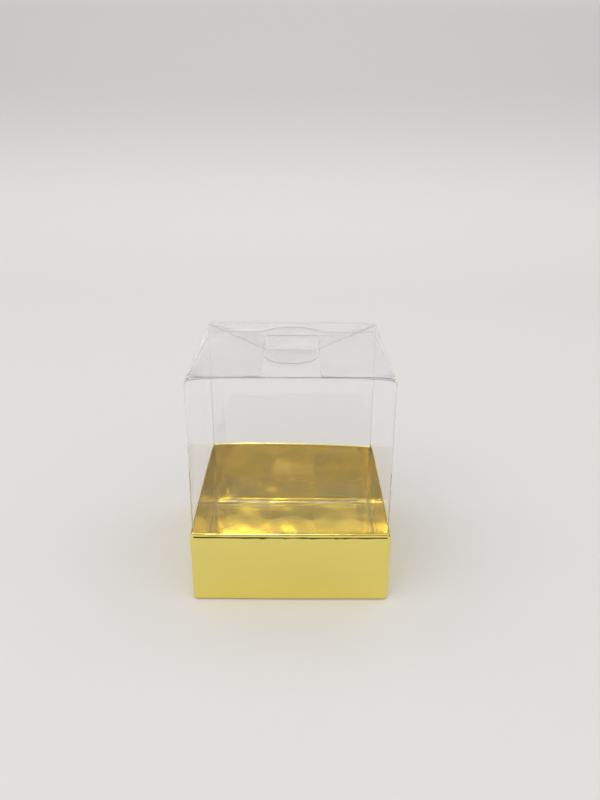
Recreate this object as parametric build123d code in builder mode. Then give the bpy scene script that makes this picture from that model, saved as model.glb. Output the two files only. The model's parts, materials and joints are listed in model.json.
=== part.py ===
from build123d import *
from math import sqrt
import os

# Clear box over its outside faces, and the height of its top above the table
box_width = 60.0
box_depth = 60.0
box_top = 75.0

# Gold tray
tray_height = 24.0
lip_spread = 0.35  # how far the lip stands out past the foot of the wall
wall_bow = 0.15  # outward swell of the wall half way up
foot_radius = 0.9  # outside of the fold between floor and wall
glue_tab_length = 12.0
glue_tab_foot = 0.6  # glue tab above the fold at the floor
glue_tab_head = 2.4  # glue tab below the lip roll
glue_tab_slant = 1.5  # taper at each corner of a glue tab's free end
lining_lift = 0.1  # folded-down edge above the fold at the floor

# Sheet stock
film = 0.3
board = 0.25
upright_radius = 0.8  # outside of the film's upright corner folds
crease_radius = 0.2  # rounding along a flap's crease
crease_share = 0.8  # most of the film's thickness that this rounding takes
free_corner_radius = 1.0  # corners at the flaps' free ends

# Clearances
layer_gap = 0.2  # between flaps that lie on one another
crease_gap = 0.05  # between a wall's edge and the flap folded over it
seat_gap = 0.05  # clear box above the tray floor
tray_fit = 0.1  # film to tray lining, each side
glue_line = 0.02

# Window flap, which carries the window that the tongue locks into
lock_line = -6.5  # window edge that the tongue hooks over, from the box's middle
window_width = 17.2
window_length = 18.5
window_radius = 0.8
window_band = 4.5  # film between the window and the flap's free edge
window_flap_draw = 1.7  # how far each side draws in at the free edge
tab_width = 20.8
tab_rise = 5.8  # rounded tab beyond the free edge

# Lock flap and its tongue
lock_land = 3.0  # square part beside the crease, before the slanted sides
neck_width = 18.0
neck_inset = 5.1  # neck behind the lock line
tongue_width = 16.0
tongue_slit = 0.2  # slit each side of the tongue's root
tongue_root = 8.0  # root behind the lock line
tongue_flat = 0.5  # level part at the root
tongue_lead = 1.0  # the tongue clears the window flap this far behind the lock line
tongue_reach = 11.8  # tip beyond the lock line
tongue_tip_radius = 7.2
tip_share = 0.49  # most of the tongue's width that one rounded corner takes

# Dust flaps at the two sides
dust_gap = 17.2  # between their free edges
dust_front_land = 1.0  # set back from the window flap's crease, at the hinge
dust_front_relief = 4.2  # the same at the free edge
dust_back_land = 1.5
dust_back_relief = 17.2

# Glued seam of the clear box
glue_flap_width = 3.9
glue_flap_slant = 2.0

# Upright corner folds of film and tray turn about the same four lines
half_width = box_width / 2
half_depth = box_depth / 2
run_x = half_width - upright_radius
run_y = half_depth - upright_radius

# Board layers outwards from those lines
lining_in = upright_radius + tray_fit
lining_out = lining_in + board
glue_tab_in = lining_out + glue_line
foot_out = glue_tab_in + board + glue_line + board
fold_start = foot_out - foot_radius
fold_inside = foot_radius - board
lip_out = foot_out + lip_spread
lip_radius = (lip_out - lining_in) / 2
lip_level = tray_height - lip_radius
lining_foot = foot_radius - sqrt(fold_inside**2 - (lining_out - fold_start) ** 2) + lining_lift

# Film layers of a closure, counted inwards from its outer face
layer_step = film + layer_gap
window_layer, lock_layer, dust_layer = range(1, 4)
base_level = board + seat_gap

front, right, back, left = 0, 90, 180, 270


def side_plane(turn):
    """Plane of a wall's section: x outwards from the corner folds, y up."""
    outward = Vector(0, -1, 0).rotate(Axis.Z, turn)
    reach = run_y if turn in (front, back) else run_x
    return Plane(origin=outward * reach, x_dir=outward, z_dir=outward.cross(Vector(0, 0, 1)))


def side_run(turn):
    """Half the straight length of a wall between its corner folds."""
    return run_x if turn in (front, back) else run_y


def folded_wall(section, turn):
    """A wall with this section, carried half way round the corner fold at each end."""
    side = side_plane(turn)
    run = side_run(turn)
    with BuildPart() as wall:
        with BuildSketch(side):
            add(section)
        extrude(amount=run, both=True)
        for end in (-1, 1):
            with BuildSketch(side.offset(end * run)):
                add(section)
            corner = side.from_local_coords((0, 0, end * run))
            revolve(axis=Axis(corner, (0, 0, -end)), revolution_arc=45)
    return wall.part


def strip_section(inner, outer, low, high):
    """A flat sheet seen end on."""
    with BuildSketch() as strip:
        with Locations((inner, low)):
            Rectangle(outer - inner, high - low, align=Align.MIN)
    return strip.sketch


def lip_section():
    """Outer tray wall: turned up from the floor, bowed, and rolled over at the lip."""
    foot_in = foot_out - board
    lip_in = lip_out - board
    lip_centre = lip_out - lip_radius
    half_way = (foot_radius + lip_level) / 2
    swell = lip_spread / 2 + wall_bow
    with BuildSketch() as wall:
        with BuildLine():
            CenterArc((fold_start, foot_radius), foot_radius, -90, 90)
            ThreePointArc((foot_out, foot_radius), (foot_out + swell, half_way), (lip_out, lip_level))
            CenterArc((lip_centre, lip_level), lip_radius, 0, 180)
            Line((lining_in, lip_level), (lining_out, lip_level))
            CenterArc((lip_centre, lip_level), lip_radius - board, 0, 180)
            ThreePointArc((lip_in, lip_level), (foot_in + swell, half_way), (foot_in, foot_radius))
            CenterArc((fold_start, foot_radius), fold_inside, -90, 90)
            Line((fold_start, board), (fold_start, 0))
        make_face()
    return wall.sketch


def tray_floor():
    """Bottom panel, up to where the walls turn up from it."""
    with BuildPart() as panel:
        with BuildSketch():
            RectangleRounded(2 * (run_x + fold_start), 2 * (run_y + fold_start), fold_start)
        extrude(amount=board)
    return panel.part


def tray_glue_tab(turn, end):
    """Glue tab between a wall and its lining, at one end of that wall."""
    side = side_plane(turn)
    low = foot_radius + glue_tab_foot
    high = lip_level - glue_tab_head
    root = end * side_run(turn)
    free = root - end * glue_tab_length
    with BuildPart() as tab:
        with BuildSketch(Plane(side.origin, x_dir=side.y_dir, z_dir=side.x_dir).offset(glue_tab_in)):
            with BuildLine():
                Polyline(
                    (low, root),
                    (high, root),
                    (high - glue_tab_slant, free),
                    (low + glue_tab_slant, free),
                    close=True,
                )
            make_face()
        extrude(amount=board)
    return tab.part


def film_wall(turn, low_layer, high_layer):
    """Clear wall between the flap layers folded over its lower and upper edges."""
    low = base_level + low_layer * layer_step + film + crease_gap
    high = box_top - high_layer * layer_step - film - crease_gap
    return folded_wall(strip_section(upright_radius - film, upright_radius, low, high), turn)


def film_glue_flap():
    """Edge of the left wall turned in and glued inside the back wall."""
    low = base_level + dust_layer * layer_step + film + crease_gap
    high = box_top - dust_layer * layer_step - film - crease_gap
    free = glue_flap_width - run_x
    with BuildPart() as flap:
        with BuildSketch(Plane.XZ.offset(film + glue_line - half_depth)):
            with BuildLine():
                Polyline(
                    (-run_x, low),
                    (free, low + glue_flap_slant),
                    (free, high - glue_flap_slant),
                    (-run_x, high),
                    close=True,
                )
            make_face()
        extrude(amount=film)
    return flap.part


# The flaps of a closure are drawn in its own frame: z is 0 on its outer face and points outwards,
# and the window flap's crease is on the -y side.


def window_flap():
    """Flap with the window and the rounded tab."""
    free = lock_line + window_length + window_band
    narrow = run_x - window_flap_draw
    with BuildPart() as flap:
        with BuildSketch(Plane.XY.offset(-window_layer * layer_step)) as outline:
            with BuildLine():
                Polyline(
                    (-tab_width / 2, free),
                    (-narrow, free),
                    (-run_x, -half_depth),
                    (run_x, -half_depth),
                    (narrow, free),
                    (tab_width / 2, free),
                )
                ThreePointArc((tab_width / 2, free), (0, free + tab_rise), (-tab_width / 2, free))
            make_face()
            free_corners = outline.vertices().group_by(Axis.Y)[1].sort_by(Axis.X)
            fillet([free_corners[0], free_corners[-1]], free_corner_radius)
            with Locations((0, lock_line + window_length / 2)):
                RectangleRounded(window_width, window_length, window_radius, mode=Mode.SUBTRACT)
        extrude(amount=-film)
        crease = flap.edges().filter_by(Axis.X).group_by(Axis.Y)[0].sort_by(Axis.Z)[-1]
        fillet(crease, min(crease_radius, crease_share * film))
    return flap.part


def lock_flap():
    """Flap with slanted sides, slit beside the root of its tongue."""
    neck = lock_line + neck_inset
    root = lock_line + tongue_root
    land = half_depth - lock_land
    with BuildPart() as flap:
        with BuildSketch(Plane.XY.offset(-lock_layer * layer_step)):
            with BuildLine():
                Polyline(
                    (-run_x, half_depth),
                    (run_x, half_depth),
                    (run_x, land),
                    (neck_width / 2, neck),
                    (-neck_width / 2, neck),
                    (-run_x, land),
                    close=True,
                )
            make_face()
            with Locations((0, root)):
                Rectangle(
                    tongue_width + 2 * tongue_slit,
                    root - neck,
                    align=(Align.CENTER, Align.MAX),
                    mode=Mode.SUBTRACT,
                )
        extrude(amount=-film)
        crease = flap.edges().filter_by(Axis.X).group_by(Axis.Y)[-1].sort_by(Axis.Z)[-1]
        fillet(crease, min(crease_radius, crease_share * film))
    return flap.part


def lock_tongue():
    """End of the lock flap that climbs through the window and lies on the window flap."""
    root = lock_line + tongue_root
    level = root - tongue_flat
    head = lock_line + tongue_lead
    tip = lock_line - tongue_reach
    climb = lock_layer * layer_step
    with BuildPart() as tongue:
        with BuildSketch(Plane.YZ):
            with BuildLine():
                Polyline(
                    (root, -climb),
                    (level, -climb),
                    (head, 0),
                    (tip, 0),
                    (tip, -film),
                    (head, -film),
                    (level, -climb - film),
                    (root, -climb - film),
                    close=True,
                )
            make_face()
        extrude(amount=tongue_width / 2, both=True)
        tip_corners = tongue.edges().filter_by(Axis.Z).group_by(Axis.Y)[0]
        fillet(tip_corners, min(tongue_tip_radius, tip_share * tongue_width))
    return tongue.part


def dust_flap(side):
    """Side flap that lies under the other two: side is -1 for the left one, 1 for the right."""
    free = side * dust_gap / 2
    hinge = side * half_width
    with BuildPart() as flap:
        with BuildSketch(Plane.XY.offset(-dust_layer * layer_step)) as outline:
            with BuildLine():
                Polyline(
                    (hinge, dust_front_land - half_depth),
                    (free, dust_front_relief - half_depth),
                    (free, half_depth - dust_back_relief),
                    (hinge, half_depth - dust_back_land),
                    close=True,
                )
            make_face()
            free_corners = outline.vertices().group_by(Axis.X)[-1 if side < 0 else 0]
            fillet(free_corners, free_corner_radius)
        extrude(amount=-film)
        hinge_edges = flap.edges().filter_by(Axis.Y).group_by(Axis.X)[0 if side < 0 else -1]
        crease = hinge_edges.sort_by(Axis.Z)[-1]
        fillet(crease, min(crease_radius, crease_share * film))
    return flap.part


pieces = {"tray_floor": tray_floor()}

lining_section = strip_section(lining_in, lining_out, lining_foot, lip_level)
for name, turn in (("front", front), ("right", right), ("back", back), ("left", left)):
    pieces[f"tray_{name}_wall"] = folded_wall(lip_section(), turn)
    pieces[f"tray_{name}_lining"] = folded_wall(lining_section, turn)

for name, turn, end in (
    ("front_left", front, 1),
    ("front_right", front, -1),
    ("back_left", back, -1),
    ("back_right", back, 1),
):
    pieces[f"tray_{name}_tab"] = tray_glue_tab(turn, end)

pieces["film_front_wall"] = film_wall(front, lock_layer, window_layer)
pieces["film_back_wall"] = film_wall(back, window_layer, lock_layer)
pieces["film_right_wall"] = film_wall(right, dust_layer, dust_layer)
pieces["film_left_wall"] = film_wall(left, dust_layer, dust_layer)
pieces["film_glue_flap"] = film_glue_flap()

# The bottom closure is the top one turned end for end, so its window flap is hinged at the back
top_end = Plane.XY.offset(box_top)
bottom_end = Plane((0, 0, base_level), x_dir=(1, 0, 0), z_dir=(0, 0, -1))
for name, end, window_side, lock_side in (
    ("top", top_end, "front", "back"),
    ("bottom", bottom_end, "back", "front"),
):
    pieces[f"{name}_{window_side}_flap"] = window_flap().moved(end.location)
    pieces[f"{name}_{lock_side}_flap"] = lock_flap().moved(end.location)
    pieces[f"{name}_tongue"] = lock_tongue().moved(end.location)
    pieces[f"{name}_left_flap"] = dust_flap(-1).moved(end.location)
    pieces[f"{name}_right_flap"] = dust_flap(1).moved(end.location)

os.makedirs("parts", exist_ok=True)
for name, piece in pieces.items():
    piece.label = name
    export_step(piece, f"parts/{name}.step")
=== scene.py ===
"""Favor box: a clear folded film box that stands in a tray of gold foil board."""

import json
import math

import bmesh
import bpy
from bpy.props import FloatProperty, FloatVectorProperty, PointerProperty
from mathutils import Matrix, Vector


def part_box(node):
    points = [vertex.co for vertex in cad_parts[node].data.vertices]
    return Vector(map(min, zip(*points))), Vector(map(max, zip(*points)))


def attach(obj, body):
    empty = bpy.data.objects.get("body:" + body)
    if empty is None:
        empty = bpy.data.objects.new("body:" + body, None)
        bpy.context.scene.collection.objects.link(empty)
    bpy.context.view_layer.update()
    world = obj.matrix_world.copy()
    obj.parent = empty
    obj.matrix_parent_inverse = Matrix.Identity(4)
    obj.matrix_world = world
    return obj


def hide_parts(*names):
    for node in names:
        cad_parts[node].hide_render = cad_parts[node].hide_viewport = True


bl_info = {
    "name": "Favor Box",
    "version": (1, 0, 0),
    "blender": (4, 5, 0),
    "location": "View3D > Sidebar > Favor Box",
    "description": "Models a clear film box with a locking top, standing in a gold foil tray",
    "category": "Object",
}

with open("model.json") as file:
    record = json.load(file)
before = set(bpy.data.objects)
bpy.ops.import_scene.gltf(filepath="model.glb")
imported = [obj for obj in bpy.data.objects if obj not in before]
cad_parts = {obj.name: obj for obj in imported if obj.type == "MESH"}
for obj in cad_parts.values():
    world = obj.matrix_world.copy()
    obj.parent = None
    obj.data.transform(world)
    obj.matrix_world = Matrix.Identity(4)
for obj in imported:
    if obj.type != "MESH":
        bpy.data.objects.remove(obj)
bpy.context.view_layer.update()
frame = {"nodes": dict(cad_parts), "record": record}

MM = 0.001
HAIR = 0.02 * MM  # tolerance for picking points by their place
QUARTER_TURN = math.pi / 2

# Sizes that the frame gives
HALF = -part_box("film_left_wall")[0].x  # half the clear box's width
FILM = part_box("film_glue_flap")[1].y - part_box("film_glue_flap")[0].y
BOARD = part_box("tray_floor")[1].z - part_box("tray_floor")[0].z
TRAY_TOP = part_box("tray_front_wall")[1].z
FILM_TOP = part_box("top_tongue")[1].z
TRAY_REACH = -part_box("tray_front_wall")[0].y  # outermost face of a tray wall
LINING_FACE = -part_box("tray_front_lining")[0].y - BOARD  # inner face of the folded-down lining
LINING_FOOT = BOARD + 0.03 * MM  # the lining is tucked down to the floor

FLAP_CELL = 2 * MM  # grid that lets a flap bend
FOLD_STEPS = 5  # faces round a quarter or an eighth of a turn
FADE_STEPS = 8  # steps in which a sheet's unevenness fades out towards its folds
MIDDLE = 2 * MM  # half the width of the stretch in the middle of a side that moves as one

SIDES = ("front", "right", "back", "left")
OUTWARD = {"front": (0, -1), "right": (1, 0), "back": (0, 1), "left": (-1, 0)}
TONGUES = {"top_back_flap": "top_tongue", "bottom_front_flap": "bottom_tongue"}
FLAP_BODIES = {
    node: body
    for body, nodes in frame["record"]["behaviour"]["bodies"].items()
    for node in nodes
    if node.startswith(("top_", "bottom_")) and node.endswith("_flap")
}


class TraySettings(bpy.types.PropertyGroup):
    """Sizes and colours of the gold tray"""

    foil_color: FloatVectorProperty(
        name="Foil", description="Colour that the gold foil reflects",
        subtype="COLOR", size=3, min=0, max=1, default=(0.93, 0.79, 0.22),
    )
    # painted shade: makes the floor's foil a browner copy of the walls' foil
    floor_shade_tint: FloatVectorProperty(
        name="Floor tint", description="What the lacquer on the floor takes from the foil's colour",
        subtype="COLOR", size=3, min=0, max=1, default=(1, 0.95, 0.88),
    )
    core_color: FloatVectorProperty(
        name="Board core", description="Colour of the board where it is cut",
        subtype="COLOR", size=3, min=0, max=1, default=(0.85, 0.8, 0.66),
    )
    foil_roughness: FloatProperty(
        name="Foil roughness", description="How far the foil blurs a reflection",
        min=0, max=1, default=0.07,
    )
    wall_dents: FloatProperty(
        name="Wall dents", description="Depth of the soft dents in the foil of the walls",
        unit="LENGTH", default=0.5 * MM,
    )
    floor_dents: FloatProperty(
        name="Floor dents", description="Depth of the soft dents in the foil of the floor",
        unit="LENGTH", default=0.6 * MM,
    )
    floor_swell: FloatProperty(
        name="Floor swell", description="How far the foil of the floor swells towards the back",
        unit="LENGTH", default=0.75 * MM,
    )
    wall_lean: FloatProperty(
        name="Wall lean", description="How far the lip stands out past the foot",
        unit="LENGTH", default=0.06 * MM,
    )
    wall_bow: FloatProperty(
        name="Wall bow", description="How far the middle of a lip bows out past its ends",
        unit="LENGTH", default=0.2 * MM,
    )
    back_lift: FloatProperty(
        name="Back lift", description="How far the middle of the back lip stands above the front lip",
        unit="LENGTH", default=1.5 * MM,
    )
    side_lift: FloatProperty(
        name="Side lift", description="How far the side lips rise to the back corners",
        unit="LENGTH", default=0.85 * MM,
    )
    foot_radius: FloatProperty(
        name="Foot radius", description="Fold between the floor and a wall",
        unit="LENGTH", default=0.9 * MM,
    )
    lip_rise: FloatProperty(
        name="Lip rise", description="Height of the rounded fold at the lip",
        unit="LENGTH", default=0.8 * MM,
    )
    shoulder_rise: FloatProperty(
        name="Shoulder rise", description="Height of the sloping board below the lip's fold",
        unit="LENGTH", default=0.7 * MM,
    )
    lip_wave: FloatProperty(
        name="Lip wave", description="Unevenness of the folded lip",
        unit="LENGTH", default=0.14 * MM,
    )
    lip_crumple: FloatProperty(
        name="Lip crumple", description="Finer unevenness of the folded lip",
        unit="LENGTH", default=0.12 * MM,
    )
    corner_radius: FloatProperty(
        name="Corner inset", description="Where the upright corners start, in from the film box",
        unit="LENGTH", default=0.8 * MM,
    )
    corner_gap: FloatProperty(
        name="Corner gap", description="Opening between two lips at a corner",
        unit="LENGTH", default=0.25 * MM,
    )
    floor_dip: FloatProperty(
        name="Floor dip", description="Unevenness of the tray floor",
        unit="LENGTH", default=0.1 * MM,
    )


class FilmSettings(bpy.types.PropertyGroup):
    """Sizes and colours of the clear box"""

    film_color: FloatVectorProperty(
        name="Film", description="Tint of light that passes through the film",
        subtype="COLOR", size=3, min=0, max=1, default=(0.995, 0.995, 0.995),
    )
    edge_color: FloatVectorProperty(
        name="Cut edge", description="Colour of the film's frosted cut edges",
        subtype="COLOR", size=3, min=0, max=1, default=(0.25, 0.25, 0.25),
    )
    # painted light: the film's cut edges emit light, though they are no lamp
    edge_painted_glow: FloatProperty(
        name="Edge glow", description="Light that the film carries to its cut edges",
        min=0, max=1, default=0.3,
    )
    film_roughness: FloatProperty(
        name="Film roughness", description="How far the film blurs a reflection",
        min=0, max=1, default=0.02,
    )
    edge_on_alpha: FloatProperty(
        name="Edge-on strength", description="Share of the film's gloss where it is seen edge on",
        min=0, max=1, default=0.1,
    )
    film_dents: FloatProperty(
        name="Film dents", description="Depth of the soft dents in the film",
        unit="LENGTH", default=0.12 * MM,
    )
    corner_radius: FloatProperty(
        name="Corner radius", description="Outside of the upright folds",
        unit="LENGTH", default=0.45 * MM,
    )
    fold_radius: FloatProperty(
        name="Bottom fold radius", description="Outside of the folds at the bottom edges",
        unit="LENGTH", default=1.2 * MM,
    )
    fold_crumple: FloatProperty(
        name="Fold crumple", description="Unevenness of the folds at the bottom edges",
        unit="LENGTH", default=0.35 * MM,
    )
    wall_wave: FloatProperty(
        name="Wall wave", description="Unevenness of the film walls",
        unit="LENGTH", default=0.4 * MM,
    )
    corner_press: FloatProperty(
        name="Corner press", description="How far the upper front corners are pressed down",
        unit="LENGTH", default=1.2 * MM,
    )
    flap_wave: FloatProperty(
        name="Flap wave", description="Unevenness of the flaps, the same for all layers",
        unit="LENGTH", default=0.3 * MM,
    )


class StageSettings(bpy.types.PropertyGroup):
    """Floor, light and camera"""

    floor_color: FloatVectorProperty(
        name="Floor", description="Colour of the floor and backdrop",
        subtype="COLOR", size=3, min=0, max=1, default=(0.75, 0.735, 0.73),
    )
    # painted shade: the backdrop's colour darkens higher up in place of light that falls off
    painted_shade_top_color: FloatVectorProperty(
        name="Backdrop top", description="Colour that the backdrop fades to higher up",
        subtype="COLOR", size=3, min=0, max=1, default=(0.58, 0.58, 0.575),
    )
    # painted light: a pale band painted on the backdrop as a pool of light, for the top flaps to reflect
    painted_light_pool_color: FloatVectorProperty(
        name="Backdrop light", description="Light part of the backdrop, which the top flaps reflect",
        subtype="COLOR", size=3, min=0, max=1, default=(0.78, 0.77, 0.765),
    )
    room_color: FloatVectorProperty(
        name="Room", description="Unlit room behind the camera, seen in reflections only",
        subtype="COLOR", size=3, min=0, max=1, default=(0.09, 0.08, 0.07),
    )
    wall_color: FloatVectorProperty(
        name="Room wall", description="Wall of that room, above the unlit part",
        subtype="COLOR", size=3, min=0, max=1, default=(0.5, 0.49, 0.48),
    )


def pick(piece, kind, test):
    """Selects the points, edges or faces of a piece in edit mode that pass a test."""
    bpy.ops.mesh.select_mode(type=kind)
    bpy.ops.mesh.select_all(action="DESELECT")
    mesh = bmesh.from_edit_mesh(piece.data)
    for item in {"VERT": mesh.verts, "EDGE": mesh.edges, "FACE": mesh.faces}[kind]:
        if test(item):
            item.select_set(True)
    mesh.select_flush_mode()
    bmesh.update_edit_mesh(piece.data)


def near(a, b):
    return abs(a - b) < HAIR


def add_panel(name, size, place, turn, cuts):
    """A flat grid of a size, with its place in its mesh, left in edit mode."""
    bpy.ops.object.select_all(action="DESELECT")
    bpy.ops.mesh.primitive_grid_add(
        x_subdivisions=cuts[0], y_subdivisions=cuts[1], size=1, location=place, rotation=turn
    )
    panel = bpy.context.object
    panel.name = panel.data.name = name
    panel.scale = (*size, 1)
    bpy.ops.object.transform_apply(location=True, rotation=True, scale=True)
    bpy.ops.object.mode_set(mode="EDIT")
    return panel


def apply_modifier(piece, kind, **values):
    """Adds a modifier with these values and applies it."""
    modifier = piece.modifiers.new(kind.lower(), kind)
    for name, value in values.items():
        setattr(modifier, name, value)
    bpy.context.view_layer.objects.active = piece
    bpy.ops.object.modifier_apply(modifier=modifier.name)


def make_group(piece, name, weights):
    """A vertex group from (weight, test) pairs on the points, in edit mode."""
    bpy.ops.object.vertex_group_add()
    piece.vertex_groups.active.name = name
    for weight, test in weights:
        pick(piece, "VERT", test)
        bpy.context.tool_settings.vertex_group_weight = weight
        bpy.ops.object.vertex_group_assign()


def press_corners(piece, depth):
    """Presses the two upper front corners of the film down, and less the farther from them."""
    reach = 3.2 * MM
    reach_down = 4 * reach
    sharpness = 1.5
    steps = 16

    def nearness(v):
        away = math.hypot(HALF - abs(v.co.x), HALF + v.co.y) / reach
        below = (FILM_TOP - v.co.z) / reach_down
        return max(1 - away, 0) ** sharpness * max(1 - below, 0)

    make_group(piece, "corner", [
        (step / steps, lambda v, step=step: nearness(v) > (step - 0.5) / steps)
        for step in range(1, steps + 1)
    ])
    bpy.ops.object.mode_set(mode="OBJECT")
    apply_modifier(
        piece, "DISPLACE", direction="Z", strength=-depth, mid_level=0, vertex_group="corner"
    )


def wave_texture(name, size, depth=1):
    """Smooth unevenness with features of about this size."""
    texture = bpy.data.textures.get(name) or bpy.data.textures.new(name, "CLOUDS")
    texture.noise_scale = size
    texture.noise_depth = depth
    return texture


def finish_piece(piece, body, nodes, smooth=35):
    """Smooth shading, then the body that carries the piece and the nodes that it stands for."""
    bpy.ops.object.select_all(action="DESELECT")
    piece.select_set(True)
    bpy.context.view_layer.objects.active = piece
    bpy.ops.object.shade_smooth_by_angle(angle=math.radians(smooth))
    piece.vertex_groups.clear()
    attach(piece, body)
    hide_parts(*nodes)


def unevenness_group():
    """Soft waves, smudges and fine grain over a sheet."""
    group = bpy.data.node_groups.get("sheet_unevenness")
    if group:
        return group
    group = bpy.data.node_groups.new("sheet_unevenness", "ShaderNodeTree")
    scale_in = group.nodes.new("NodeGroupInput")
    values_out = group.nodes.new("NodeGroupOutput")
    place = group.nodes.new("ShaderNodeTexCoord")
    for kind, detail in (("Waves", 1), ("Smudges", 4), ("Grain", 2)):
        group.interface.new_socket(f"{kind} Scale", in_out="INPUT", socket_type="NodeSocketFloat")
        group.interface.new_socket(kind, in_out="OUTPUT", socket_type="NodeSocketFloat")
        noise = group.nodes.new("ShaderNodeTexNoise")
        noise.inputs["Detail"].default_value = detail
        group.links.new(place.outputs["Object"], noise.inputs["Vector"])
        group.links.new(scale_in.outputs[f"{kind} Scale"], noise.inputs["Scale"])
        group.links.new(noise.outputs["Fac"], values_out.inputs[kind])
    return group


def sheet_material(name, colors, roughness, scales, bumps, sockets):
    """A sheet whose colour and roughness vary with smudges, and whose normal follows waves and grain.

    colors and roughness are (clean, smudged) pairs. scales are those of waves, smudges and grain, per
    metre, and bumps the heights of waves and grain. sockets holds the shader's plain values.
    """
    noise_clean, noise_smudged = 0.35, 0.65
    material = bpy.data.materials.new(name)
    material.use_nodes = True
    nodes, links = material.node_tree.nodes, material.node_tree.links
    shader = nodes["Principled BSDF"]
    for socket, value in sockets.items():
        shader.inputs[socket].default_value = value
    uneven = nodes.new("ShaderNodeGroup")
    uneven.node_tree = unevenness_group()
    for kind, scale in zip(("Waves", "Smudges", "Grain"), scales):
        uneven.inputs[f"{kind} Scale"].default_value = scale
    tint = nodes.new("ShaderNodeMix")
    tint.data_type = "RGBA"
    tint.inputs["A"].default_value = (*colors[0], 1)
    tint.inputs["B"].default_value = (*colors[1], 1)
    links.new(uneven.outputs["Smudges"], tint.inputs["Factor"])
    links.new(tint.outputs["Result"], shader.inputs["Base Color"])
    gloss = nodes.new("ShaderNodeMapRange")
    gloss.inputs["From Min"].default_value = noise_clean
    gloss.inputs["From Max"].default_value = noise_smudged
    gloss.inputs["To Min"].default_value = roughness[0]
    gloss.inputs["To Max"].default_value = roughness[1]
    links.new(uneven.outputs["Smudges"], gloss.inputs["Value"])
    links.new(gloss.outputs["Result"], shader.inputs["Roughness"])
    normal = None
    for kind, height in zip(("Waves", "Grain"), bumps):
        if height:
            bump = nodes.new("ShaderNodeBump")
            bump.inputs["Distance"].default_value = height
            links.new(uneven.outputs[kind], bump.inputs["Height"])
            if normal:
                links.new(normal, bump.inputs["Normal"])
            normal = bump.outputs["Normal"]
    if normal:
        links.new(normal, shader.inputs["Normal"])
    return material


def deeper(color, share):
    return [channel * share for channel in color]


def add_swell(material, height):
    """Lets a floor's foil rise in a soft step behind the middle, as buckled board does."""
    start, end = 0, 18 * MM  # along the depth of the tray
    nodes, links = material.node_tree.nodes, material.node_tree.links
    shader = nodes["Principled BSDF"]
    place = nodes.new("ShaderNodeTexCoord")
    split = nodes.new("ShaderNodeSeparateXYZ")
    links.new(place.outputs["Object"], split.inputs["Vector"])
    rise = nodes.new("ShaderNodeMapRange")
    rise.interpolation_type = "SMOOTHSTEP"
    rise.inputs["From Min"].default_value = start
    rise.inputs["From Max"].default_value = end
    links.new(split.outputs["Y"], rise.inputs["Value"])
    bump = nodes.new("ShaderNodeBump")
    bump.inputs["Distance"].default_value = height
    links.new(rise.outputs["Result"], bump.inputs["Height"])
    links.new(shader.inputs["Normal"].links[0].from_socket, bump.inputs["Normal"])
    links.new(bump.outputs["Normal"], shader.inputs["Normal"])


def foil_material(settings, part):
    """Metallised gold foil on board, flatter on the walls than on the floor; the floor's copy is browner,
    as painted shade of the recessed floor.
    """
    name = f"gold_foil_{part}"
    if name in bpy.data.materials:
        return bpy.data.materials[name]
    wave, color = settings.wall_dents, settings.foil_color
    if part == "floor":
        wave = settings.floor_dents
        # painted shade: the floor's foil colour is darkened by the shade tint
        color = [foil * tint for foil, tint in zip(settings.foil_color, settings.floor_shade_tint)]
    polish = (settings.foil_roughness * 0.7, settings.foil_roughness * 1.6)
    grain = 0.004 * MM
    material = sheet_material(
        name, (color, deeper(color, 0.94)), polish, (70, 60, 1500), (wave, grain), {"Metallic": 1}
    )
    if part == "floor":
        add_swell(material, settings.floor_swell)
    return material


def core_material(settings):
    """Cut edge of the board."""
    grain = 0.02 * MM
    return bpy.data.materials.get("board_core") or sheet_material(
        "board_core", (settings.core_color, deeper(settings.core_color, 0.8)),
        (0.75, 0.9), (300, 400, 3000), (0, grain), {},
    )


def film_material(settings):
    """Clear plastic film, which shows little gloss where it is seen edge on."""
    film_ior = 1.47
    full_gloss, least_gloss = 0.55, 0.86  # how far from face on the gloss starts and ends to fade
    material = bpy.data.materials.get("film_sheet")
    if material:
        return material
    material = sheet_material(
        "film_sheet", (settings.film_color, deeper(settings.film_color, 0.99)),
        (settings.film_roughness * 0.5, settings.film_roughness * 2),
        (45, 70, 1200), (settings.film_dents, 0), {"Transmission Weight": 1, "IOR": film_ior},
    )
    nodes, links = material.node_tree.nodes, material.node_tree.links
    glancing = nodes.new("ShaderNodeLayerWeight")
    glancing.inputs["Blend"].default_value = 0.5
    clear = nodes.new("ShaderNodeMapRange")
    clear.inputs["From Min"].default_value = full_gloss
    clear.inputs["From Max"].default_value = least_gloss
    clear.inputs["To Min"].default_value = 1
    clear.inputs["To Max"].default_value = settings.edge_on_alpha
    links.new(glancing.outputs["Facing"], clear.inputs["Value"])
    links.new(clear.outputs["Result"], nodes["Principled BSDF"].inputs["Alpha"])
    return material


def edge_material(settings):
    """Cut edge of the film, frosted, with a painted glow (emission) that stands in for light the sheet
    carries along inside.
    """
    grain = 0.01 * MM
    return bpy.data.materials.get("film_edge") or sheet_material(
        "film_edge", (settings.edge_color, deeper(settings.edge_color, 0.8)),
        (0.3, 0.5), (300, 300, 2500), (0, grain),
        # painted glow: the cut edges emit light of their own
        {"Emission Color": (1, 1, 1, 1), "Emission Strength": settings.edge_painted_glow},
    )


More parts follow.
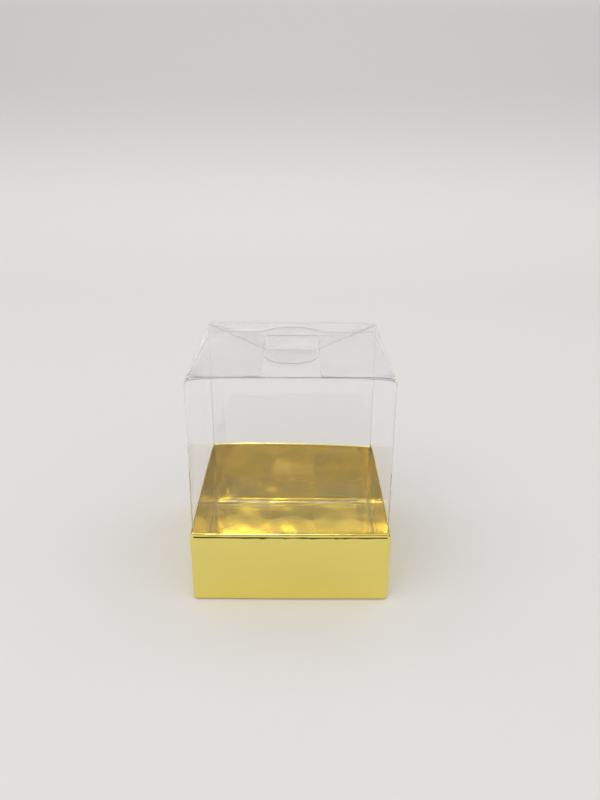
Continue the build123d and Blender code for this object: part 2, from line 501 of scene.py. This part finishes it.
class FAVORBOX_OT_tray_sides(bpy.types.Operator):
    """Folds one side of the tray from a strip of board and copies it round"""

    bl_idname = "favorbox.tray_sides"
    bl_label = "Tray Sides"

    def fold_strip(self, settings, run):
        """Outer wall, lip and lining of the front side, as a sheet with no thickness."""
        lip_out = TRAY_REACH - settings.wall_bow - (settings.lip_wave + settings.lip_crumple) / 2 - HAIR
        foot = lip_out - settings.wall_lean
        lip_half = BOARD * 1.15
        shoulder_in = lip_out - LINING_FACE - 2 * lip_half
        low = settings.foot_radius
        high = TRAY_TOP - settings.lip_rise
        crisp = 0.08 * MM  # keeps the bend at the shoulder's foot tight
        shoulder = high - settings.shoulder_rise - crisp
        columns, rows = 64, 14
        shoulder_rows, lip_rows, lining_rows = 3, 12, 8
        strip = add_panel(
            "tray_side", (2 * run, shoulder - low), (0, -foot, (low + shoulder) / 2),
            (QUARTER_TURN, 0, 0), (columns, rows),
        )
        for row in range(1, rows + 1):
            share = row / rows
            level = low + share * (shoulder - low)
            pick(strip, "VERT", lambda v: near(v.co.z, level))
            bpy.ops.transform.translate(value=(0, -settings.wall_lean * share, 0))
        pick(strip, "EDGE", lambda e: all(near(v.co.z, shoulder) for v in e.verts))
        bpy.ops.mesh.extrude_region_move(TRANSFORM_OT_translate={"value": (0, 0, crisp)})
        slope = (0, shoulder_in / shoulder_rows, settings.shoulder_rise / shoulder_rows)
        for _ in range(shoulder_rows):
            bpy.ops.mesh.extrude_region_move(TRANSFORM_OT_translate={"value": slope})
        bpy.ops.mesh.spin(
            steps=lip_rows, angle=math.pi, center=(0, -LINING_FACE - lip_half, high), axis=(1, 0, 0)
        )
        pick(strip, "VERT", lambda v: v.co.z > high + HAIR)
        bpy.ops.transform.resize(
            value=(1, 1, settings.lip_rise / lip_half), center_override=(0, 0, high)
        )
        pick(
            strip, "EDGE",
            lambda e: all(near(v.co.z, high) and v.co.y > -LINING_FACE - lip_half for v in e.verts),
        )
        drop = (0, 0, (LINING_FOOT - high) / lining_rows)
        for _ in range(lining_rows):
            bpy.ops.mesh.extrude_region_move(TRANSFORM_OT_translate={"value": drop})
        pick(strip, "EDGE", lambda e: all(near(v.co.z, low) and near(v.co.y, -foot) for v in e.verts))
        bpy.ops.mesh.spin(
            steps=FOLD_STEPS, angle=-QUARTER_TURN, axis=(1, 0, 0),
            center=(0, settings.foot_radius - foot, low),
        )
        pick(strip, "VERT", lambda v: v.co.z > high - HAIR and abs(v.co.x) < MIDDLE)
        bpy.ops.transform.translate(
            value=(0, -settings.wall_bow, 0), use_proportional_edit=True,
            proportional_edit_falloff="SPHERE", proportional_size=run - MIDDLE,
        )
        for end in (-1, 1):
            pick(strip, "EDGE", lambda e: all(near(v.co.x, end * run) for v in e.verts))
            bpy.ops.mesh.spin(
                steps=FOLD_STEPS, angle=-end * QUARTER_TURN / 2, center=(end * run, -run, 0), axis=(0, 0, 1)
            )

            def on_mitre(v):
                return near(end * v.co.x - run, -v.co.y - run) and end * v.co.x > run + HAIR

            # the lip ends a little short of the mitre
            pick(strip, "VERT", lambda v: v.co.z > high and on_mitre(v))
            back_off = settings.corner_gap / math.sqrt(2)
            bpy.ops.transform.translate(value=(-end * back_off, -back_off, 0))
        bpy.ops.mesh.select_all(action="SELECT")
        bpy.ops.mesh.remove_doubles(threshold=HAIR / 4)
        bpy.ops.mesh.normals_make_consistent(inside=False)
        wall_face = min(bmesh.from_edit_mesh(strip.data).faces, key=lambda f: f.calc_center_median().y)
        if wall_face.normal.y > 0:
            bpy.ops.mesh.flip_normals()
        make_group(strip, "lip", (
            (0.35, lambda v: v.co.y < -foot + HAIR and v.co.z > low),
            (0.6, lambda v: v.co.y < -foot + HAIR and v.co.z > 0.8 * high),
            (1.0, lambda v: v.co.z > shoulder - HAIR and v.co.y < -LINING_FACE - HAIR),
        ))
        make_group(strip, "roll", (
            (1.0, lambda v: v.co.z > shoulder + crisp / 2 and v.co.y < -LINING_FACE - HAIR),
        ))
        bpy.ops.object.mode_set(mode="OBJECT")
        return strip

    def raise_lip(self, side, test, lift, falloff, reach):
        """Stretches a side upwards where the test holds, and less the farther away. Its foot stays."""
        bpy.context.view_layer.objects.active = side
        bpy.ops.object.mode_set(mode="EDIT")
        pick(side, "VERT", test)
        bpy.ops.transform.resize(
            value=(1, 1, 1 + lift / TRAY_TOP), center_override=(0, 0, 0), use_proportional_edit=True,
            proportional_edit_falloff=falloff, proportional_size=reach,
        )
        bpy.ops.object.mode_set(mode="OBJECT")

    def execute(self, context):
        settings = context.scene.favor_tray
        run = HALF - settings.corner_radius
        strip = self.fold_strip(settings, run)
        strip.data.materials.append(foil_material(settings, "wall"))
        strip.data.materials.append(core_material(settings))
        sides = [strip]
        for quarter in range(1, len(SIDES)):
            bpy.ops.object.select_all(action="DESELECT")
            strip.select_set(True)
            context.view_layer.objects.active = strip
            bpy.ops.object.duplicate()
            side = context.object
            side.rotation_euler.z = quarter * QUARTER_TURN
            bpy.ops.object.transform_apply(location=True, rotation=True, scale=True)
            sides.append(side)
        for name, side in zip(SIDES, sides):
            side.name = side.data.name = f"tray_{name}_side"
            if name == "back":
                self.raise_lip(
                    side, lambda v: abs(v.co.x) < MIDDLE, settings.back_lift, "SPHERE", run + 2 * MIDDLE
                )
            elif name != "front":
                self.raise_lip(side, lambda v: v.co.y > run, settings.side_lift, "LINEAR", 2 * run)
            apply_modifier(
                side, "DISPLACE", texture=wave_texture("lip_wave", 7 * MM, 3), texture_coords="LOCAL",
                strength=settings.lip_wave, mid_level=0.5, vertex_group="lip",
            )
            apply_modifier(
                side, "DISPLACE", texture=wave_texture("lip_crumple", 2.4 * MM), texture_coords="LOCAL",
                strength=settings.lip_crumple, mid_level=0.5, vertex_group="roll",
            )
            apply_modifier(side, "SOLIDIFY", thickness=BOARD, offset=-1, material_offset_rim=1)
            finish_piece(side, "tray", (f"tray_{name}_wall", f"tray_{name}_lining"))
        return {"FINISHED"}


class FAVORBOX_OT_tray_floor(bpy.types.Operator):
    """Lays the tray floor, and gives the hidden glue tabs their finish"""

    bl_idname = "favorbox.tray_floor"
    bl_label = "Tray Floor"

    def execute(self, context):
        settings = context.scene.favor_tray
        low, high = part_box("tray_floor")
        size = high - low
        cells = 48
        floor = add_panel("tray_floor_panel", (size.x, size.y), (0, 0, high.z), (0, 0, 0), (cells, cells))
        corner = high.x - HAIR
        pick(floor, "VERT", lambda v: abs(v.co.x) > corner and abs(v.co.y) > corner)
        bpy.ops.mesh.bevel(offset=settings.corner_radius, segments=4, affect="VERTICES")
        bpy.ops.object.mode_set(mode="OBJECT")
        apply_modifier(floor, "SOLIDIFY", thickness=BOARD, offset=-1)
        bpy.ops.object.mode_set(mode="EDIT")
        inside = 0.94 * high.x
        make_group(floor, "sheet", (
            (1.0, lambda v: v.co.z > BOARD / 2 and max(abs(v.co.x), abs(v.co.y)) < inside),
        ))
        bpy.ops.object.mode_set(mode="OBJECT")
        apply_modifier(
            floor, "DISPLACE", texture=wave_texture("floor_dip", 14 * MM), texture_coords="LOCAL",
            direction="Z", strength=settings.floor_dip, mid_level=1, vertex_group="sheet",
        )
        gold = foil_material(settings, "floor")
        floor.data.materials.append(gold)
        finish_piece(floor, "tray", ("tray_floor",))
        for name, node in frame["nodes"].items():
            if name.startswith("tray_") and name.endswith("_tab"):
                node.data.materials.clear()
                node.data.materials.append(gold)
        return {"FINISHED"}


class FAVORBOX_OT_film_walls(bpy.types.Operator):
    """Folds the four clear walls from one sheet of film, with the folds at their lower edges"""

    bl_idname = "favorbox.film_walls"
    bl_label = "Film Walls"

    def execute(self, context):
        settings = context.scene.favor_film
        run = HALF - settings.corner_radius
        radius = settings.fold_radius
        rows, columns, corner_faces = 24, 32, 6
        tops = {side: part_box(f"film_{side}_wall")[1].z for side in SIDES}
        feet = {side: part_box(f"bottom_{side}_flap")[0].z + radius for side in SIDES}
        low, high = min(feet.values()), max(tops.values())
        bpy.ops.object.select_all(action="DESELECT")
        bpy.ops.mesh.primitive_cube_add(size=1, location=(0, 0, (low + high) / 2))
        walls = context.object
        walls.name = walls.data.name = "film_walls"
        walls.scale = (2 * HALF, 2 * HALF, high - low)
        bpy.ops.object.transform_apply(location=True, rotation=True, scale=True)
        bpy.ops.object.mode_set(mode="EDIT")
        pick(walls, "FACE", lambda f: abs(f.normal.z) > 0.5)
        bpy.ops.mesh.delete(type="FACE")

        def upright(e):
            return abs(e.verts[0].co.z - e.verts[1].co.z) > HALF

        pick(walls, "EDGE", upright)
        bpy.ops.mesh.bevel(offset=settings.corner_radius, segments=corner_faces, affect="EDGES")
        pick(walls, "EDGE", upright)
        bpy.ops.mesh.subdivide(number_cuts=rows - 1)
        pick(walls, "EDGE", lambda e: e.calc_length() > HALF)
        bpy.ops.mesh.subdivide(number_cuts=columns - 1)

        def drop(v, levels, rim):
            """How far a rim point lies from the cut, blended round the corner folds."""
            from_x = max(abs(v.co.x) - run, 0)
            from_y = max(abs(v.co.y) - run, 0)
            end = "front" if v.co.y < 0 else "back"
            flank = "left" if v.co.x < 0 else "right"
            turn = math.atan2(from_x, from_y) / QUARTER_TURN if from_x or from_y else 0
            share = turn * turn * (3 - 2 * turn)
            return (1 - share) * levels[end] + share * levels[flank] - rim

        for rim, levels in ((high, tops), (low, feet)):
            moves = {}
            for v in bmesh.from_edit_mesh(walls.data).verts:
                if near(v.co.z, rim):
                    moves.setdefault(round(drop(v, levels, rim), 6), []).append(v.index)
            for move, indices in moves.items():
                chosen = set(indices)
                pick(walls, "VERT", lambda v: v.index in chosen)
                bpy.ops.transform.translate(value=(0, 0, move))
        for side, (x, y) in OUTWARD.items():

            def at_foot(v):
                across = v.co.x * x + v.co.y * y
                along = v.co.x * y - v.co.y * x
                return near(across, HALF) and near(v.co.z, feet[side]) and abs(along) < run + HAIR

            pick(walls, "EDGE", lambda e: all(at_foot(v) for v in e.verts))
            bpy.ops.mesh.spin(
                steps=FOLD_STEPS, angle=QUARTER_TURN, axis=(y, -x, 0),
                center=(x * (HALF - radius), y * (HALF - radius), feet[side]),
            )
        bpy.ops.mesh.select_all(action="SELECT")
        bpy.ops.mesh.remove_doubles(threshold=HAIR / 4)
        bpy.ops.mesh.normals_make_consistent(inside=False)
        front_face = min(bmesh.from_edit_mesh(walls.data).faces, key=lambda f: f.calc_center_median().y)
        if front_face.normal.y > 0:
            bpy.ops.mesh.flip_normals()
        fold_margin = 2 * MM
        fade_start, fade_step = 1, 1.5  # millimetres

        def straight(v):
            return min(abs(v.co.x), abs(v.co.y)) < run - fold_margin

        def depth(v):
            return min(v.co.z - TRAY_TOP, high - v.co.z) / MM if straight(v) else 0

        make_group(walls, "sheet", [
            (step / FADE_STEPS, lambda v, step=step: depth(v) > fade_start + fade_step * step)
            for step in range(1, FADE_STEPS + 1)
        ])
        make_group(walls, "folds", ((1.0, lambda v: straight(v) and v.co.z < max(feet.values()) - HAIR),))
        bpy.ops.object.mode_set(mode="OBJECT")
        apply_modifier(
            walls, "DISPLACE", texture=wave_texture("film_wave", 22 * MM), texture_coords="LOCAL",
            strength=settings.wall_wave, mid_level=0.5, vertex_group="sheet",
        )
        apply_modifier(
            walls, "DISPLACE", texture=wave_texture("fold_crumple", 5 * MM, 2), texture_coords="LOCAL",
            strength=settings.fold_crumple, mid_level=1, vertex_group="folds",
        )
        bpy.ops.object.mode_set(mode="EDIT")
        press_corners(walls, settings.corner_press)
        apply_modifier(walls, "SOLIDIFY", thickness=FILM, offset=-1, use_even_offset=True)
        walls.data.materials.append(film_material(settings))
        finish_piece(walls, "clear_box", [f"film_{side}_wall" for side in SIDES])
        return {"FINISHED"}


class FAVORBOX_OT_film_flaps(bpy.types.Operator):
    """Makes the flaps of both closures, and the glued seam, as slightly uneven film"""

    bl_idname = "favorbox.film_flaps"
    bl_label = "Film Flaps"

    def copy_sheet(self, node, name):
        """A merged copy of a flat CAD sheet, cut in a grid so that it can bend."""
        bpy.ops.object.select_all(action="DESELECT")
        sheet = bpy.data.objects.new(name, frame["nodes"][node].data.copy())
        sheet.data.name = name
        bpy.context.collection.objects.link(sheet)
        sheet.select_set(True)
        bpy.context.view_layer.objects.active = sheet
        sheet.data.materials.clear()
        bpy.ops.object.mode_set(mode="EDIT")
        bpy.ops.mesh.select_all(action="SELECT")
        bpy.ops.mesh.remove_doubles(threshold=HAIR / 20)
        low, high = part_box(node)
        for axis in (0, 1):
            first = math.floor((low[axis] + HAIR) / FLAP_CELL) + 1
            last = math.ceil((high[axis] - HAIR) / FLAP_CELL)
            for cut in range(first, last):
                place = Vector((0, 0, 0))
                place[axis] = cut * FLAP_CELL
                normal = Vector((0, 0, 0))
                normal[axis] = 1
                bpy.ops.mesh.select_all(action="SELECT")
                bpy.ops.mesh.bisect(plane_co=place, plane_no=normal)
        bpy.ops.object.mode_set(mode="OBJECT")
        return sheet

    def add_tongue(self, sheet, node):
        """Joins the tongue to its flap, as one sheet."""
        tongue = self.copy_sheet(node, f"{node}_film")
        low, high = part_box(node)
        root = high.y if node == "top_tongue" else low.y
        bpy.ops.object.select_all(action="DESELECT")
        tongue.select_set(True)
        sheet.select_set(True)
        bpy.context.view_layer.objects.active = sheet
        bpy.ops.object.join()
        bpy.ops.object.mode_set(mode="EDIT")
        pick(
            sheet, "FACE",
            lambda f: all(near(v.co.y, root) and low.x - HAIR < v.co.x < high.x + HAIR for v in f.verts),
        )
        bpy.ops.mesh.delete(type="FACE")
        pick(sheet, "VERT", lambda v: near(v.co.y, root))
        bpy.ops.mesh.remove_doubles(threshold=HAIR / 2)
        bpy.ops.object.mode_set(mode="OBJECT")

    def execute(self, context):
        settings = context.scene.favor_film
        film = film_material(settings)
        radius = settings.fold_radius
        crease_margin = 1 * MM
        fade_start, fade_step = 1, 1  # millimetres
        for node, body in FLAP_BODIES.items():
            sheet = self.copy_sheet(node, f"{node}_film")
            if node in TONGUES:
                self.add_tongue(sheet, TONGUES[node])
            sheet.data.materials.append(film)
            sheet.data.materials.append(edge_material(settings))
            level, side, _ = node.split("_")
            x, y = OUTWARD[side]

            def is_cut_edge(face):
                center = face.calc_center_median()
                return abs(face.normal.z) < 0.5 and center.x * x + center.y * y < HALF - crease_margin

            bpy.ops.object.mode_set(mode="EDIT")
            if level == "bottom":
                # the wall's own fold takes up this much of the flap
                edge = HALF - radius - HAIR / 2
                bpy.ops.mesh.select_all(action="SELECT")
                bpy.ops.mesh.bisect(
                    plane_co=(x * edge, y * edge, 0), plane_no=(x, y, 0), clear_outer=True, use_fill=True
                )
            pick(sheet, "FACE", is_cut_edge)
            sheet.active_material_index = 1
            bpy.ops.object.material_slot_assign()

            def depth(v):
                return (HALF - max(abs(v.co.x), abs(v.co.y))) / MM

            make_group(sheet, "sheet", [
                (step / FADE_STEPS, lambda v, step=step: depth(v) > fade_start + fade_step * step)
                for step in range(1, FADE_STEPS + 1)
            ])
            bpy.ops.object.mode_set(mode="OBJECT")
            apply_modifier(
                sheet, "DISPLACE", texture=wave_texture("flap_wave", 20 * MM), texture_coords="LOCAL",
                direction="Z", strength=settings.flap_wave, mid_level=1 if level == "top" else 0,
                vertex_group="sheet",
            )
            if level == "top":
                bpy.ops.object.mode_set(mode="EDIT")
                press_corners(sheet, settings.corner_press)
            made_of = [part for part in (node, TONGUES.get(node)) if part]
            finish_piece(sheet, body, made_of, smooth=4)
        seam = frame["nodes"]["film_glue_flap"]
        seam.data.materials.clear()
        seam.data.materials.append(film)
        return {"FINISHED"}


class FAVORBOX_OT_stage(bpy.types.Operator):
    """Adds the floor, the light and the camera"""

    bl_idname = "favorbox.stage"
    bl_label = "Stage"

    def sweep_material(self, settings):
        """Paper whose colour is painted: darkest at the top of the picture as painted shade, with a painted
        pool of light just above it.
        """
        ramp_height = 0.5
        # floor colour, then painted shade higher up, with a painted pool of light between
        stops = (
            (0.05, settings.floor_color), (0.4, settings.painted_shade_top_color), (0.55, settings.painted_shade_top_color),
            (0.68, settings.painted_light_pool_color), (0.76, settings.painted_light_pool_color), (0.9, settings.painted_shade_top_color),
        )
        material = bpy.data.materials.new("paper_sweep")
        material.use_nodes = True
        nodes, links = material.node_tree.nodes, material.node_tree.links
        shader = nodes["Principled BSDF"]
        shader.inputs["Roughness"].default_value = 0.9
        shader.inputs["Specular IOR Level"].default_value = 0.1
        place = nodes.new("ShaderNodeTexCoord")
        split = nodes.new("ShaderNodeSeparateXYZ")
        links.new(place.outputs["Object"], split.inputs["Vector"])
        fade = nodes.new("ShaderNodeMapRange")
        fade.inputs["From Max"].default_value = ramp_height
        links.new(split.outputs["Z"], fade.inputs["Value"])
        paper = nodes.new("ShaderNodeValToRGB")
        paper.color_ramp.interpolation = "EASE"
        while len(paper.color_ramp.elements) < len(stops):
            paper.color_ramp.elements.new(1)
        for element, (level, color) in zip(paper.color_ramp.elements, stops):
            element.position = level
            element.color = (*color, 1)
        links.new(fade.outputs["Result"], paper.inputs["Fac"])
        links.new(paper.outputs["Color"], shader.inputs["Base Color"])
        return material

    def add_sweep(self, settings):
        """Floor that curves up into a backdrop."""
        width, length, height = 4, 2, 1.5
        curve_start, curve_radius = 0.4, 0.5
        margin = 0.01
        floor = add_panel("floor", (width, length), (0, curve_start - length / 2, 0), (0, 0, 0), (2, 20))
        pick(floor, "EDGE", lambda e: all(v.co.y > curve_start - margin for v in e.verts))
        bpy.ops.mesh.spin(
            steps=16, angle=-QUARTER_TURN, center=(0, curve_start, curve_radius), axis=(1, 0, 0)
        )
        bpy.ops.mesh.extrude_region_move(TRANSFORM_OT_translate={"value": (0, 0, height)})
        bpy.ops.object.mode_set(mode="OBJECT")
        bpy.ops.object.shade_smooth()
        floor.data.materials.append(self.sweep_material(settings))

    def add_room(self, settings):
        """The room behind the camera, unlit low down and dim above, seen only in reflections."""
        width, behind = 1.6, -0.9
        for name, low, high, color in (
            ("room_foot", 0, 0.3, settings.room_color), ("room_wall", 0.3, 0.605, settings.wall_color),
        ):
            card = add_panel(
                name, (width, high - low), (0, behind, (low + high) / 2), (QUARTER_TURN, 0, 0), (2, 2)
            )
            bpy.ops.object.mode_set(mode="OBJECT")
            shade = bpy.data.materials.new(name)
            shade.use_nodes = True
            shade.node_tree.nodes["Principled BSDF"].inputs["Base Color"].default_value = (*color, 1)
            card.data.materials.append(shade)
            card.visible_camera = card.visible_diffuse = card.visible_shadow = False
            # what the tray's floor mirrors of the wall comes out through the film
            card.visible_transmission = name == "room_wall"

    def add_lamp(self, name, size, power, place, target):
        """A rectangular lamp that points at a target."""
        lamp = bpy.data.lights.new(name, "AREA")
        lamp.shape = "RECTANGLE"
        lamp.size, lamp.size_y = size
        lamp.energy = power
        holder = bpy.data.objects.new(name, lamp)
        bpy.context.collection.objects.link(holder)
        holder.location = place
        holder.rotation_euler = (Vector(target) - holder.location).to_track_quat("-Z", "Y").to_euler()
        return holder

    def add_light(self, scene):
        """Even light from all round, a softbox, a lamp for the backdrop and two that only gloss shows."""
        world = bpy.data.worlds.new("studio")
        scene.world = world
        world.use_nodes = True
        background = world.node_tree.nodes["Background"]
        background.inputs["Color"].default_value = (1, 0.99, 0.98, 1)
        background.inputs["Strength"].default_value = 0.945
        self.add_lamp("softbox", (0.6, 0.6), 1.1, (-0.2, -0.4, 0.75), (0, 0, 0.03))
        self.add_lamp("backdrop_lamp", (1.0, 0.3), 0.9, (0, 0.3, 0.8), (0, 0.6, 0))
        length = 0.3
        for across, width, brightness in ((-0.07, 0.08, 14), (0.045, 0.04, 3)):
            power = brightness * math.pi * width * length
            place = (across, -0.42, 0.66)
            ceiling = self.add_lamp("ceiling_lamp", (width, length), power, place, (0, 0, 0))
            ceiling.visible_diffuse = False

    def add_camera(self, scene):
        """The camera, with the place, turn and focal length that fit the photograph's perspective."""
        place = (1.93 * MM, -214.6 * MM, 140.9 * MM)
        pitch, yaw, roll = math.radians(21.62), math.radians(0.225), math.radians(0.353)
        focal_length, picture_height = 703.2, 800  # pixels
        lens = bpy.data.cameras.new("camera")
        lens.sensor_width = 36
        lens.lens = lens.sensor_width * focal_length / picture_height
        lens.clip_start = 0.01
        camera = bpy.data.objects.new("camera", lens)
        bpy.context.collection.objects.link(camera)
        forward = Vector((
            math.sin(yaw) * math.cos(pitch), math.cos(yaw) * math.cos(pitch), -math.sin(pitch),
        ))
        level = Vector((math.cos(yaw), -math.sin(yaw), 0))
        upright = level.cross(forward)
        right = math.cos(roll) * level + math.sin(roll) * upright
        up = -math.sin(roll) * level + math.cos(roll) * upright
        turn = Matrix((right, up, -forward)).transposed()
        camera.matrix_world = Matrix.Translation(place) @ turn.to_4x4()
        scene.camera = camera

    def execute(self, context):
        settings = context.scene.favor_stage
        scene = context.scene
        scene.view_settings.view_transform = "Standard"
        self.add_sweep(settings)
        self.add_room(settings)
        self.add_light(scene)
        self.add_camera(scene)
        # light crosses many layers of film
        scene.cycles.max_bounces = 32
        scene.cycles.transmission_bounces = 32
        scene.cycles.glossy_bounces = 8
        return {"FINISHED"}


class FAVORBOX_PT_panel(bpy.types.Panel):
    """Lists the operators that build the favor box"""

    bl_idname = "FAVORBOX_PT_panel"
    bl_label = "Favor Box"
    bl_space_type = "VIEW_3D"
    bl_region_type = "UI"
    bl_category = "Favor Box"

    def draw(self, context):
        for operator in OPERATORS:
            self.layout.operator(operator.bl_idname)


SETTINGS = {"favor_tray": TraySettings, "favor_film": FilmSettings, "favor_stage": StageSettings}
OPERATORS = (
    FAVORBOX_OT_tray_sides,
    FAVORBOX_OT_tray_floor,
    FAVORBOX_OT_film_walls,
    FAVORBOX_OT_film_flaps,
    FAVORBOX_OT_stage,
)
CLASSES = (*SETTINGS.values(), *OPERATORS, FAVORBOX_PT_panel)


def register():
    for cls in CLASSES:
        bpy.utils.register_class(cls)
    for name, group in SETTINGS.items():
        setattr(bpy.types.Scene, name, PointerProperty(type=group))


def unregister():
    for name in SETTINGS:
        delattr(bpy.types.Scene, name)
    for cls in reversed(CLASSES):
        bpy.utils.unregister_class(cls)


def main():
    register()
    bpy.ops.favorbox.tray_sides()
    bpy.ops.favorbox.tray_floor()
    bpy.ops.favorbox.film_walls()
    bpy.ops.favorbox.film_flaps()
    bpy.ops.favorbox.stage()


if __name__ == "__main__":
    main()
